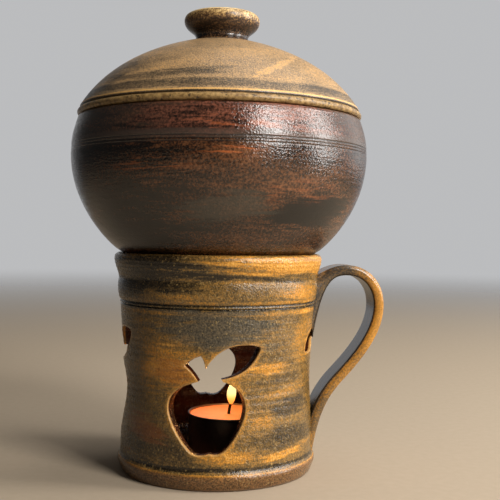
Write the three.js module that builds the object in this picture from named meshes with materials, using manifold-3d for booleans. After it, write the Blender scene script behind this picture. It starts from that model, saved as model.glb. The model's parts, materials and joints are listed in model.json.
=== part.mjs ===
// Apple baker in thrown stoneware: a mug-shaped stand that holds a tealight, a bowl that
// sits in the stand's mouth, and a domed lid. Millimetres, +Z up. The origin is the middle
// of the stand's flat base, the front window faces -Y and the handle points to +X.
import * as THREE from 'three';
import { mergeVertices } from 'three/addons/utils/BufferGeometryUtils.js';
import Module from 'manifold-3d';

const wasm = await Module();
wasm.setup();

// Clearance between two pieces that touch
const gap = 0.3;

// Stand
const standHeight = 97.9;
const standWall = 5;
const standFloor = 6.5;
const baseRadius = 43.4;
const footRadius = 45.2;
const footHeight = 8.4;
const waistRadius = 42.65;
const waistHeight = 40;
const shoulderRadius = 44.4;
const grooveHeight = 74.6;
const grooveDepth = 0.5;
const bulgeRadius = 45.75;
const bulgeHeight = 81.5;
const neckRadius = 45.35;
const neckHeight = 86.5;
const rimRadius = 47.4;
const rimRound = 2.3;

// Apple windows: azimuth of the middle from the front, height of the widest place, size
const windowSize = 1;
const windowLevel = 34.2;
const windows = [
  { azimuth: -6, level: windowLevel, size: windowSize },
  { azimuth: -92, level: windowLevel + 3.4, size: windowSize * 1.05 },
  { azimuth: 186, level: windowLevel + 7.8, size: windowSize * 0.88 },
];
const leafAzimuth = 76;
const leafLevel = 59;
const leafLength = 18;

// Strap handle, given from the stand's wall outwards
const handleAzimuth = 3;
const handleReach = 31;
const handleCrest = 90.7;
const handleBend = 74.5;
const handleRoot = 81.5;
const handleTail = 9;
const strapWidth = 20;
const strapThickness = 4.8;
const rootSwell = 21;
const rootRun = 18;

// Bowl
const bowlWall = 5;
const seatRadius = 46;
const seatAngle = THREE.MathUtils.degToRad(32);
const bellyRadius = 67.05;
const bellyHeight = 42.5;
const mouthRadius = 64.2;
const bowlHeight = 58.9;
const footClearance = 1.5;
const footRingWidth = 4.5;
const footRingHeight = 3.5;
const bowlFloor = 5;
const spikeRadius = 15.5;
const spikeTipRadius = 6.5;
const spikeHeight = 43;
const spikeWall = 4;

// Lid
const lidWall = 5;
const beadRadius = 64.4;
const beadHeight = 3;
const domeRadius = 63.5;
const domeHeight = 34.7;
const lidClearance = 0.8;
const flangeWidth = 4;
const flangeDepth = 5.5;
const knobSeatRadius = 15.5;

// Knob
const knobShift = 0.4;
const knobBaseRadius = 13.4;
const knobNeckRadius = 11.9;
const knobRadius = 17.2;
const knobHeight = 13.4;
const knobDish = 1.3;

// Tealight
const tealightShift = 5.7;
const cupRadius = 19;
const cupHeight = 17.9;
const cupWall = 0.4;
const waxLevel = 16.4;
const wickRadius = 0.7;
const wickTop = 22.4;
const wickLean = 1.1;
const sustainerRadius = 7;
const sustainerThickness = 0.35;
const collarHeight = 3;
const collarWall = 0.5;

// Facets round the axis
const wideSegments = 48;
const knobSegments = 32;
const tealightSegments = 28;

const at = (radius, height) => new THREE.Vector2(radius, height);

// A bezier stretch of a profile, from the first point to the last
const bend = (from, out, into, to) => new THREE.CubicBezierCurve(from, out, into, to);

// The same stretch moved towards the clay side, for a wall of even thickness
function offset(curve, distance, steps) {
  const points = [];
  for (let i = 0; i <= steps; i += 1) {
    const tangent = curve.getTangent(i / steps);
    const point = curve.getPoint(i / steps);
    points.push(at(point.x - tangent.y * distance, point.y + tangent.x * distance));
  }
  return points;
}

// An arc of a profile, its angles in degrees
function arc(x, y, radius, start, end, steps) {
  const points = [];
  for (let i = 0; i <= steps; i += 1) {
    const angle = THREE.MathUtils.degToRad(start + ((end - start) * i) / steps);
    points.push(at(x + radius * Math.cos(angle), y + radius * Math.sin(angle)));
  }
  return points;
}

// A closed three.js geometry as a manifold solid
function toSolid(geometry) {
  geometry.deleteAttribute('normal');
  geometry.deleteAttribute('uv');
  const merged = mergeVertices(geometry, 1e-4);
  const corners = merged.index.array;
  const triangles = [];
  for (let i = 0; i < corners.length; i += 3) {
    const [a, b, c] = [corners[i], corners[i + 1], corners[i + 2]];
    if (a !== b && b !== c && c !== a) triangles.push(a, b, c);
  }
  return new wasm.Manifold(new wasm.Mesh({
    numProp: 3,
    vertProperties: new Float32Array(merged.attributes.position.array),
    triVerts: new Uint32Array(triangles),
  }));
}

// A manifold solid as a three.js geometry
function toGeometry(solid) {
  const mesh = solid.getMesh();
  const geometry = new THREE.BufferGeometry();
  geometry.setAttribute('position', new THREE.BufferAttribute(mesh.vertProperties, 3));
  geometry.setIndex(new THREE.BufferAttribute(mesh.triVerts, 1));
  geometry.computeVertexNormals();
  return geometry;
}

// A body turned on the wheel: the profile runs anticlockwise round the clay
function turn(profile, segments) {
  const geometry = new THREE.LatheGeometry(profile, segments);
  geometry.rotateX(Math.PI / 2);
  return toSolid(geometry);
}

function glazed(name, solid, color, roughness) {
  const material = new THREE.MeshStandardMaterial({ color, roughness, metalness: 0 });
  const mesh = new THREE.Mesh(toGeometry(solid), material);
  mesh.name = name;
  return mesh;
}

// Stand
const lowerWall = bend(
  at(footRadius - 1.25, footHeight + 0.6),
  at(footRadius - 1.4, waistHeight * 0.55),
  at(waistRadius, waistHeight * 0.9),
  at(waistRadius, waistHeight),
);
const upperWall = bend(
  at(waistRadius, waistHeight),
  at(waistRadius, waistHeight + 9),
  at(shoulderRadius - 1, grooveHeight - 14),
  at(shoulderRadius, grooveHeight),
);
const bulge = bend(
  at(shoulderRadius + 0.6, grooveHeight + 3),
  at(bulgeRadius, bulgeHeight - 1.5),
  at(bulgeRadius + 0.2, bulgeHeight + 2),
  at(neckRadius, neckHeight),
);
const flare = bend(
  at(neckRadius, neckHeight),
  at(neckRadius - 0.1, neckHeight + 2.5),
  at(rimRadius, standHeight - rimRound - 3.5),
  at(rimRadius, standHeight - rimRound),
);

// Two fingernail grooves under the bulge
function grooves() {
  const points = [];
  for (const [rise, depth] of [[0.6, 1], [1.2, 0], [1.6, 0], [2.2, 1]]) {
    points.push(at(shoulderRadius + rise * 0.2 - depth * grooveDepth, grooveHeight + rise));
  }
  return points;
}

const standOutside = [
  at(0, 0),
  at(baseRadius, 0),
  at(footRadius, 4.9),
  at(footRadius - 0.2, 6.7),
  at(footRadius - 0.7, footHeight - 0.5),
  ...lowerWall.getPoints(3),
  ...upperWall.getPoints(4).slice(1),
  ...grooves(),
  ...bulge.getPoints(4),
  ...flare.getPoints(3).slice(1),
];
const mouthInside = rimRadius - 2 * rimRound;
const cavity = [
  ...offset(bulge, standWall, 2).reverse(),
  ...offset(upperWall, standWall, 3).reverse().slice(1),
  ...offset(lowerWall, standWall, 3).reverse().slice(1, -1),
];
const floorCorner = footRadius - 1.25 - standWall;
const standProfile = [
  ...standOutside,
  ...arc(rimRadius - rimRound, standHeight - rimRound, rimRound, 0, 180, 6).slice(1),
  at(mouthInside - 0.3, neckHeight + 5),
  ...cavity,
  ...arc(floorCorner - 6, standFloor + 6, 6, 0, -90, 3),
  at(0, standFloor),
];

// The apple cut in the wall, with its stem and leaf, round the middle of its widest place
function appleOutline(size) {
  const shape = new THREE.Shape();
  const to = (method, ...numbers) => shape[method](...numbers.map((n) => n * size));
  to('moveTo', -3.5, 11.2);
  to('quadraticCurveTo', -5.2, 14.6, -9.1, 17.6);
  to('quadraticCurveTo', -9.3, 18.6, -7, 19.7);
  to('quadraticCurveTo', -4.6, 21.4, -2.3, 21.9);
  to('quadraticCurveTo', -0.8, 20.3, -0.3, 16.6);
  to('bezierCurveTo', 2.6, 21.6, 7.5, 26.3, 14.8, 26.4);
  to('bezierCurveTo', 19.3, 26.5, 23.8, 26.3, 22.8, 24);
  to('bezierCurveTo', 20, 17.6, 15, 13.6, 6.4, 12.3);
  to('quadraticCurveTo', 6.2, 11.7, 7, 11.3);
  to('bezierCurveTo', 13, 9.4, 16.6, 5.4, 16.6, 0);
  to('bezierCurveTo', 16.6, -5.6, 10.8, -15, 7, -17.8);
  to('quadraticCurveTo', 4.8, -19.4, 1.4, -18.5);
  to('quadraticCurveTo', -3.6, -20.3, -6.4, -18);
  to('bezierCurveTo', -11.2, -13.6, -16.8, -5.2, -16.8, 0);
  to('bezierCurveTo', -16.8, 6, -10.8, 9, -3.5, 11.2);
  return shape;
}

// The small leaf cut between the handle's two roots
function leafOutline(length) {
  const half = length / 2;
  const shape = new THREE.Shape();
  shape.moveTo(-half, -half * 0.4);
  shape.bezierCurveTo(-half, half * 0.4, 0, half * 0.8, half, half * 0.5);
  shape.bezierCurveTo(half * 0.7, -half * 0.3, 0, -half * 0.7, -half, -half * 0.4);
  return shape;
}

// A knife cut square to the wall: the outline is wrapped round the axis of the stand
function wallCut(shape, azimuth, level) {
  const inside = waistRadius - standWall - 6;
  const depth = standWall + 18;
  const geometry = new THREE.ExtrudeGeometry(shape, { depth, bevelEnabled: false, curveSegments: 3 });
  const position = geometry.attributes.position;
  const middle = THREE.MathUtils.degToRad(azimuth);
  for (let i = 0; i < position.count; i += 1) {
    const angle = middle + position.getX(i) / waistRadius;
    const radius = inside + position.getZ(i);
    position.setXYZ(i, radius * Math.sin(angle), -radius * Math.cos(angle), level + position.getY(i));
  }
  return toSolid(geometry);
}

function makeStand() {
  let body = turn(standProfile, wideSegments);
  for (const { azimuth, level, size } of windows) {
    body = body.subtract(wallCut(appleOutline(size), azimuth, level));
  }
  return body.subtract(wallCut(leafOutline(leafLength), leafAzimuth, leafLevel));
}

// Handle: a straight pulled strap, bent along a curve and pressed on the wall at both ends
function makeHandle() {
  const route = new THREE.CurvePath();
  const point = (reach, height) => new THREE.Vector3(waistRadius + reach, 0, height);
  const knots = [
    [point(-1.5, handleRoot), point(3.5, handleRoot + 4.8), point(9, handleCrest), point(15.8, handleCrest)],
    [null, point(25.8, handleCrest), point(handleReach, handleBend + 9), point(handleReach, handleBend)],
    [null, point(handleReach, handleBend - 10.5), point(24, 53.5), point(13.4, 42.2)],
    [null, point(7.2, 35.6), point(1.8, 28), point(-1.6, handleTail)],
  ];
  let last = knots[0][0];
  for (const [, out, into, end] of knots) {
    route.add(new THREE.CubicBezierCurve3(last, out, into, end));
    last = end;
  }
  const corner = strapThickness * 0.42;
  const half = strapWidth / 2;
  const section = new THREE.Shape();
  section.absarc(half - corner, strapThickness / 2 - corner, corner, 0, Math.PI / 2, false);
  section.absarc(corner - half, strapThickness / 2 - corner, corner, Math.PI / 2, Math.PI, false);
  section.absarc(corner - half, corner - strapThickness / 2, corner, Math.PI, Math.PI * 1.5, false);
  section.absarc(half - corner, corner - strapThickness / 2, corner, Math.PI * 1.5, Math.PI * 2, false);
  const steps = 28;
  const blank = new THREE.ExtrudeGeometry(section, { depth: 1, steps, bevelEnabled: false, curveSegments: 2 });
  const position = blank.attributes.position;
  const length = route.getLength();
  for (let i = 0; i < position.count; i += 1) {
    const along = THREE.MathUtils.clamp(position.getZ(i), 0, 1);
    const centre = route.getPointAt(along);
    const tangent = route.getTangentAt(along);
    const across = position.getX(i);
    const through = position.getY(i);
    const fromRoot = Math.max(0, 1 - (along * length) / rootRun);
    const swell = rootSwell * fromRoot ** 3 * (0.5 - through / strapThickness);
    position.setXYZ(i, centre.x - tangent.z * through, across, centre.z + tangent.x * through - swell);
  }
  const wallSurface = turn([...standOutside.map((p) => at(p.x === 0 ? 0 : p.x + gap, p.y)),
    at(rimRadius + gap, standHeight), at(0, standHeight)], wideSegments);
  return toSolid(blank).rotate([0, 0, handleAzimuth]).subtract(wallSurface);
}

// Bowl, in its own frame: height 0 is where its side leaves the rim of the stand
const slope = Math.tan(seatAngle);
const lowerSide = bend(
  at(seatRadius, 0),
  at(seatRadius + 3.1, 3.1 * slope),
  at(bellyRadius, bellyHeight * 0.434),
  at(bellyRadius, bellyHeight),
);
const upperSide = bend(
  at(bellyRadius, bellyHeight),
  at(bellyRadius, bellyHeight + 7.6),
  at(mouthRadius + 1.3, bowlHeight - 5.1),
  at(mouthRadius, bowlHeight - 0.8),
);
const mouthOpening = mouthRadius - bowlWall;
const footRingRadius = neckRadius - standWall - footClearance;
const footTop = (footRingRadius - seatRadius) * slope;
const footBottom = footTop - footRingHeight;
const underside = footTop + 1;
const bowlFloorTop = underside + bowlFloor;
const bowlLift = standHeight - rimRound + (rimRound + gap) / Math.cos(seatAngle)
  + (seatRadius - rimRadius + rimRound) * slope;

function makeBowl() {
  const hollowRadius = spikeRadius - spikeWall;
  const hollowTip = spikeTipRadius - spikeWall;
  const spikeTop = bowlFloorTop + spikeHeight;
  return turn([
    at(0, spikeTop - spikeWall),
    at(hollowTip, spikeTop - spikeWall - 1.5),
    at(hollowRadius, underside + 1.5),
    at(hollowRadius + 1.5, underside),
    at(footRingRadius - footRingWidth, underside),
    at(footRingRadius - footRingWidth + 0.5, footBottom),
    at(footRingRadius - 0.8, footBottom),
    at(footRingRadius, footBottom + 0.8),
    at(footRingRadius, footTop),
    ...lowerSide.getPoints(7),
    ...upperSide.getPoints(3).slice(1),
    at(mouthRadius - 0.9, bowlHeight),
    at(mouthOpening + 0.8, bowlHeight),
    at(mouthOpening, bowlHeight - 0.8),
    ...offset(upperSide, bowlWall, 2).reverse().slice(1),
    ...offset(lowerSide, bowlWall, 5).reverse().slice(1),
    at(seatRadius - 8, bowlFloorTop + 0.6),
    at(seatRadius - 13, bowlFloorTop),
    at(spikeRadius + 4, bowlFloorTop),
    at(spikeRadius + 1.2, bowlFloorTop + 0.8),
    at(spikeRadius, bowlFloorTop + 3),
    at(spikeTipRadius, spikeTop - 3.5),
    at(spikeTipRadius - 1.8, spikeTop - 0.9),
    at(0, spikeTop),
  ], wideSegments);
}

// Lid, in its own frame: height 0 is the underside of its bead, on the rim of the bowl
const dome = bend(
  at(domeRadius, beadHeight + 0.8),
  at(domeRadius - 6, beadHeight + 10.2),
  at(domeRadius * 0.725, domeHeight * 0.78),
  at(knobSeatRadius, domeHeight),
);

function makeLid() {
  const flangeOutside = mouthOpening - lidClearance;
  const flangeInside = flangeOutside - flangeWidth;
  const insideCurve = offset(dome, lidWall, 7).filter((p) => p.x < flangeInside - 1);
  return turn([
    at(0, domeHeight - lidWall),
    ...insideCurve.reverse(),
    at(flangeInside, 1),
    at(flangeInside + 0.6, -flangeDepth),
    at(flangeOutside - 1, -flangeDepth),
    at(flangeOutside - 0.3, 0.6 - flangeDepth),
    at(flangeOutside, 0),
    ...arc(beadRadius - beadHeight / 2, beadHeight / 2, beadHeight / 2, -90, 60, 4),
    at(domeRadius - 0.6, beadHeight + 0.2),
    ...dome.getPoints(8),
    at(0, domeHeight),
  ], wideSegments);
}

// Knob, in its own frame: height 0 is its foot on the crown of the lid
function makeKnob() {
  const neckHeightHere = knobHeight * 0.17;
  const brimHeight = knobHeight * 0.73;
  const stem = bend(
    at(knobNeckRadius, neckHeightHere),
    at(knobNeckRadius + 0.2, knobHeight * 0.38),
    at(knobRadius - 0.3, knobHeight * 0.42),
    at(knobRadius, brimHeight),
  );
  const brim = bend(
    at(knobRadius, brimHeight),
    at(knobRadius, knobHeight * 0.92),
    at(knobRadius - 1.7, knobHeight),
    at(knobRadius - 4.7, knobHeight),
  );
  return turn([
    at(0, 0),
    at(knobBaseRadius, 0),
    at(knobNeckRadius + 0.5, neckHeightHere * 0.5),
    ...stem.getPoints(5),
    ...brim.getPoints(4).slice(1),
    at(knobRadius * 0.5, knobHeight - knobDish * 0.75),
    at(0, knobHeight - knobDish),
  ], knobSegments);
}

// Tealight, in its own frame: height 0 is the underside of its cup
const sustainerBottom = cupWall + gap;
const sustainerTop = sustainerBottom + sustainerThickness;
const collarBore = wickRadius + gap;
const collarRadius = collarBore + collarWall;

function makeCup() {
  return turn([
    at(0, 0),
    at(cupRadius - 1.2, 0),
    at(cupRadius - 0.6, 0.6),
    at(cupRadius - 0.4, cupHeight - 0.9),
    at(cupRadius, cupHeight - 0.6),
    at(cupRadius, cupHeight - 0.1),
    at(cupRadius - 0.3, cupHeight),
    at(cupRadius - 0.4 - cupWall, cupHeight - 0.4),
    at(cupRadius - 0.6 - cupWall, 0.9),
    at(cupRadius - 1.4 - cupWall, cupWall),
    at(0, cupWall),
  ], tealightSegments);
}

function makeWax() {
  const outside = cupRadius - 0.6 - cupWall - gap;
  const bore = wickRadius + gap;
  const recess = sustainerRadius + gap;
  const ring = [
    at(bore, waxLevel + 0.5),
    at(bore, sustainerTop + collarHeight + gap),
    at(collarRadius + gap, sustainerTop + collarHeight + gap),
    at(collarRadius + gap, sustainerTop + gap),
    at(recess, sustainerTop + gap),
    at(recess, sustainerBottom),
    at(outside - 1, sustainerBottom),
    at(outside, sustainerBottom + 1),
    at(outside + 0.1, waxLevel + 0.3),
    at(outside - 1.2, waxLevel),
    at(bore + 2.5, waxLevel),
  ];
  return turn([...ring, ring[0]], tealightSegments);
}

function makeSustainer() {
  return turn([
    at(0, sustainerBottom),
    at(sustainerRadius, sustainerBottom),
    at(sustainerRadius, sustainerTop),
    at(collarRadius, sustainerTop),
    at(collarRadius, sustainerTop + collarHeight),
    at(collarBore, sustainerTop + collarHeight),
    at(collarBore, sustainerTop),
    at(0, sustainerTop),
  ], tealightSegments / 2);
}

function makeWick() {
  const foot = sustainerTop + gap;
  const straight = new THREE.Vector3(0, 0, foot);
  const bendStart = new THREE.Vector3(0, 0, waxLevel + 1.2);
  const path = new THREE.CurvePath();
  path.add(new THREE.LineCurve3(straight, bendStart));
  path.add(new THREE.QuadraticBezierCurve3(
    bendStart,
    new THREE.Vector3(0, 0, (waxLevel + wickTop) / 2 + 1.5),
    new THREE.Vector3(wickLean, 0, wickTop),
  ));
  const section = new THREE.Shape();
  section.absarc(0, 0, wickRadius, 0, Math.PI * 2, false);
  return toSolid(new THREE.ExtrudeGeometry(section, { steps: 8, curveSegments: 4, extrudePath: path }));
}

const apple = new THREE.Group();
apple.add(glazed('stand', makeStand(), 0x5a3a18, 0.38));
apple.add(glazed('strap_handle', makeHandle(), 0x6e4a1e, 0.35));

const bowl = new THREE.Group();
bowl.position.z = bowlLift;
bowl.add(glazed('baking_bowl', makeBowl(), 0x3a1d12, 0.2));
apple.add(bowl);

const lid = new THREE.Group();
lid.position.z = bowlHeight + gap;
lid.add(glazed('lid', makeLid(), 0x6b4e22, 0.35));
bowl.add(lid);

const knob = glazed('lid_knob', makeKnob(), 0x4a3015, 0.3);
knob.position.set(knobShift, 0, domeHeight + gap);
lid.add(knob);

const tealight = new THREE.Group();
tealight.position.set(tealightShift, 0, standFloor + gap);
const cup = glazed('tealight_cup', makeCup(), 0x8f9093, 0.3);
cup.material.metalness = 1;
const sustainer = glazed('wick_sustainer', makeSustainer(), 0xa7a8aa, 0.4);
sustainer.material.metalness = 1;
tealight.add(cup, glazed('tealight_wax', makeWax(), 0xe9dcc4, 0.45), sustainer);
tealight.add(glazed('wick', makeWick(), 0x2a221c, 0.9));
apple.add(tealight);

export default apple;
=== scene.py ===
import json
from math import atan2, cos, pi, radians, sin

import bmesh
import bpy
import numpy as np
from mathutils import Matrix, Vector, noise

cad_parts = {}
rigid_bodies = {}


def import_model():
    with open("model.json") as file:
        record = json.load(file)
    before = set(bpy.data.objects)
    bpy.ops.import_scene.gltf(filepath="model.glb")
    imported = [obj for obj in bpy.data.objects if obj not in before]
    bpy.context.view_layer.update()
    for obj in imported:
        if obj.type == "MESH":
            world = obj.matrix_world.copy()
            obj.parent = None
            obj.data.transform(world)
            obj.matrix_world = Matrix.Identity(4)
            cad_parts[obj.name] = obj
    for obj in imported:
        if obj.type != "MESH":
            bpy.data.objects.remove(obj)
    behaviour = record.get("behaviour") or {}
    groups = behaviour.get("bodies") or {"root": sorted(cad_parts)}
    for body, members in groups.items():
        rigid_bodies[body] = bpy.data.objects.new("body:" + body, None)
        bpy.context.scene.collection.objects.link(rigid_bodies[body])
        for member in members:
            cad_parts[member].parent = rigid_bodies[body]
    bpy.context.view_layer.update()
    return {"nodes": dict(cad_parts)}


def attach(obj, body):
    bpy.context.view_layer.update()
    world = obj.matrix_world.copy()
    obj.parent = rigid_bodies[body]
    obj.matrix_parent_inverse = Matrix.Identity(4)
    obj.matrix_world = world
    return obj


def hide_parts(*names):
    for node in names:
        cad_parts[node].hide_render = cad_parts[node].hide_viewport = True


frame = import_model()

# Studio: a plain pale board that fades into pale air, so that no edge shows behind the pot. The
# camera stands 0.4 m in front, a little above the bowl's foot, as in the photograph. A window of two
# panes to the right lights the pot, helped by a pale wall behind it and a weak skylight.
scene = bpy.context.scene
scene.view_settings.view_transform = "Standard"

camera = bpy.data.objects.new("camera", bpy.data.cameras.new("camera"))
camera.data.lens = 61.9
camera.data.sensor_width = 36
camera.location = (0, -0.396, 0.1078)
heading, dip, roll = radians(2.10), radians(1.23), radians(0.75)
camera.rotation_euler = (
    Matrix.Rotation(-heading, 4, "Z")
    @ Matrix.Rotation(pi / 2 - dip, 4, "X")
    @ Matrix.Rotation(roll, 4, "Z")
).to_euler()
scene.collection.objects.link(camera)
scene.camera = camera

pot_middle = Vector((0, 0, 0.11))
daylight = (1, 0.975, 0.94)


def soft_light(name, width, height, watts, colour, place):
    light = bpy.data.lights.new(name, "AREA")
    light.shape = "RECTANGLE"
    light.size = width
    light.size_y = height
    light.energy = watts
    light.color = colour
    lamp = bpy.data.objects.new(name, light)
    lamp.location = place
    lamp.rotation_euler = (pot_middle - Vector(place)).to_track_quat("-Z", "Y").to_euler()
    scene.collection.objects.link(lamp)


soft_light("left_pane", 0.34, 0.72, 10.6, daylight, (0.64, -0.71, 0.59))
soft_light("right_pane", 0.28, 0.84, 7.8, daylight, (0.95, -0.13, 0.48))
soft_light("pale_wall", 0.9, 0.9, 3.0, (1, 0.985, 0.97), (0.95, 0.55, 0.5))
soft_light("skylight", 1.1, 0.9, 4.6, (1, 0.99, 0.97), (0.4, 0.1, 1.2))


def put(tree, kind, inputs=None, **settings):
    made = tree.nodes.new("ShaderNode" + kind)
    for key, value in settings.items():
        setattr(made, key, value)
    for key, value in (inputs or {}).items():
        if isinstance(value, bpy.types.NodeSocket):
            tree.links.new(value, made.inputs[key])
        else:
            made.inputs[key].default_value = value
    return made


def figure(tree, operation, *values):
    return put(tree, "Math", dict(enumerate(values)), operation=operation).outputs[0]


def times(tree, value, factor):
    return figure(tree, "MULTIPLY", value, factor)


def ease(tree, value, low, high, start=0.0, end=1.0):
    limits = {"Value": value, "From Min": low, "From Max": high, "To Min": start, "To Max": end}
    return put(tree, "MapRange", limits, interpolation_type="SMOOTHSTEP").outputs[0]


def clouds(tree, place, scale, detail, **more):
    inputs = {"Vector": place, "Scale": scale, "Detail": detail, **more}
    return put(tree, "TexNoise", inputs).outputs[0]


def tint(tree, share, under, over):
    return put(tree, "Mix", {0: share, 6: under, 7: over}, data_type="RGBA").outputs[2]


air = bpy.data.worlds.new("air")
scene.world = air
air.use_nodes = True
sky = air.node_tree
pale_air = (0.50, 0.505, 0.515, 1)
room_light = (0.05, 0.049, 0.047, 1)
path = put(sky, "LightPath").outputs
ray_way = put(sky, "SeparateXYZ", {0: put(sky, "TexCoord").outputs["Generated"]}).outputs[1]
mirrored = figure(sky, "ADD", path["Is Glossy Ray"], path["Is Transmission Ray"])
behind = times(sky, mirrored, ease(sky, ray_way, 0.7, 0.98))
seen = figure(sky, "MINIMUM", figure(sky, "ADD", behind, path["Is Camera Ray"]), 1.0)
air_mix = put(sky, "MixShader", {
    0: seen,
    1: put(sky, "Background", {"Color": room_light}).outputs[0],
    2: put(sky, "Background", {"Color": pale_air}).outputs[0],
})
sky.links.new(air_mix.outputs[0], sky.nodes["World Output"].inputs[0])

board_radius, fade_start, fade_end = 2.2, 0.3, 2.1
board_form = bmesh.new()
bmesh.ops.create_circle(board_form, cap_ends=True, radius=board_radius, segments=96)
board_mesh = bpy.data.meshes.new("board")
board_form.to_mesh(board_mesh)
board = bpy.data.objects.new("board", board_mesh)
scene.collection.objects.link(board)

board_paint = bpy.data.materials.new("board_paint")
board_paint.use_nodes = True
paint = board_paint.node_tree
board_place = put(paint, "TexCoord").outputs["Object"]
dark_sand, light_sand = (0.47, 0.375, 0.265, 1), (0.53, 0.425, 0.31, 1)
dim_sand = (0.16, 0.14, 0.12, 1)
sand = tint(paint, clouds(paint, board_place, 260, 4), dark_sand, light_sand)
board_path = put(paint, "LightPath").outputs
board_seen = figure(paint, "ADD", board_path["Is Glossy Ray"], board_path["Is Transmission Ray"])
board_seen = figure(paint, "ADD", board_seen, board_path["Is Camera Ray"])
board_seen = figure(paint, "MINIMUM", board_seen, 1.0)
board_shader = paint.nodes["Principled BSDF"]
paint.links.new(tint(paint, board_seen, dim_sand, sand), board_shader.inputs["Base Color"])
board_shader.inputs["Roughness"].default_value = 0.85
far = put(paint, "VectorMath", {0: board_place}, operation="LENGTH").outputs["Value"]
fade = put(paint, "MixShader", {
    0: ease(paint, far, fade_start, fade_end),
    1: board_shader.outputs[0],
    2: put(paint, "BsdfTransparent").outputs[0],
})
paint.links.new(fade.outputs[0], paint.nodes["Material Output"].inputs[0])
board_mesh.materials.append(board_paint)

# Stand: a straight-sided mug thrown on the wheel in iron-bearing stoneware, with a turned foot,
# two nail grooves under a soft bulge and a flared rim. The apples and the small leaf are cut
# through the leather-hard wall with a knife, and their edges are wiped round with a sponge.
MM = 0.001
waist = 42.65
stand_wall = 5.0
stand_floor = 6.5
floor_round = 6


def pull(steps, *points):
    drawn = []
    for i in range(steps + 1):
        left = [Vector(p) for p in points]
        while len(left) > 1:
            left = [a.lerp(b, i / steps) for a, b in zip(left, left[1:])]
        drawn.append(tuple(left[0]))
    return drawn


def crook(across, up, radius, start, end, steps):
    angles = [radians(start + (end - start) * i / steps) for i in range(steps + 1)]
    return [(across + radius * cos(a), up + radius * sin(a)) for a in angles]


def clay_side(points, thickness):
    """The inner side of a wall with this outside, from its end back to its start"""
    moved = []
    for i, (radius, height) in enumerate(points):
        run = Vector(points[min(i + 1, len(points) - 1)]) - Vector(points[max(i - 1, 0)])
        run.normalize()
        moved.append((radius - run.y * thickness, height + run.x * thickness))
    return moved[::-1]


def finger_rings(points, pitch, depth, low, high, fade=6):
    ringed = []
    for radius, height in points:
        share = min(1, max(0, (height - low) / fade), max(0, (high - height) / fade))
        ringed.append((radius + depth * share * sin(2 * pi * height / pitch), height))
    return ringed


def face_out(form):
    bmesh.ops.recalc_face_normals(form, faces=form.faces)
    if form.calc_volume(signed=True) < 0:
        bmesh.ops.reverse_faces(form, faces=form.faces)


def thrown(profile, steps=224):
    form = bmesh.new()
    chain = [form.verts.new((radius * MM, 0, height * MM)) for radius, height in profile]
    for lower, upper in zip(chain, chain[1:]):
        form.edges.new((lower, upper))
    bmesh.ops.spin(form, geom=form.verts[:] + form.edges[:], cent=(0, 0, 0), axis=(0, 0, 1),
                   angle=2 * pi, steps=steps, use_merge=True)
    bmesh.ops.remove_doubles(form, verts=form.verts, dist=1e-6)
    face_out(form)
    return form


def uneven(form, depth, swells=28):
    """Sinks the wall by up to depth mm in broad soft swells, as a hand leaves it"""
    for vert in form.verts:
        around = Vector((vert.co.x, vert.co.y, 0))
        if around.length > 2 * MM:
            sunk = 0.5 + 0.5 * noise.noise(vert.co * swells)
            vert.co -= around.normalized() * depth * MM * sunk


crisp_edge = radians(50)


def to_piece(name, form):
    mesh = bpy.data.meshes.new(name)
    form.to_mesh(mesh)
    form.free()
    mesh.shade_smooth()
    mesh.set_sharp_from_angle(angle=crisp_edge)
    piece = bpy.data.objects.new(name, mesh)
    scene.collection.objects.link(piece)
    return piece


lower_wall = pull(36, (43.95, 9.0), (43.8, 22), (waist, 36), (waist, 40))
upper_wall = pull(40, (waist, 40), (waist, 49), (43.4, 60.6), (44.4, 74.6))
bulge = pull(34, (45.0, 77.6), (45.75, 80), (45.95, 83.5), (45.35, 86.5))
flare = pull(34, (45.35, 86.5), (45.25, 89), (47.4, 92.1), (47.4, 95.6))
grooves = [
    (44.46, 74.95), (44.1, 75.2), (44.05, 75.4), (44.35, 75.65), (44.62, 75.8),
    (44.7, 76.1), (44.6, 76.35), (44.35, 76.6), (44.32, 76.8), (44.6, 77.1), (44.9, 77.4),
]
foot = [
    (0, 0), (20, 0), (34, 0), (42.7, 0), (43.3, 0.25), (43.75, 0.9), (44.4, 2.6), (45.0, 4.4),
    (45.2, 5.0), (45.17, 5.7), (45.0, 6.5), (44.6, 7.2), (44.35, 7.9), (44.0, 8.4),
]
outside = lower_wall + upper_wall[1:] + grooves + bulge + flare[1:]
stand_outside = finger_rings(outside, pitch=3.1, depth=0.07, low=9, high=74)
stand_outside = finger_rings(stand_outside, pitch=1.75, depth=0.05, low=87, high=101)
inside_wall = clay_side(bulge[::2], stand_wall) + clay_side(upper_wall[::2], stand_wall)
inside_wall += clay_side(lower_wall[4::2], stand_wall)[1:]
inside_wall = finger_rings(inside_wall, pitch=6.6, depth=0.33, low=12, high=88)
stand_form = thrown(
    foot + stand_outside + crook(45.1, 95.6, 2.3, 0, 180, 12)[1:] + [(42.65, 94), (42.3, 92)]
    + inside_wall + crook(32.95, stand_floor + floor_round, floor_round, 0, -90, 8)
    + [(22, stand_floor), (10, stand_floor), (0, stand_floor)]
)
uneven(stand_form, 0.16)


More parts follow.
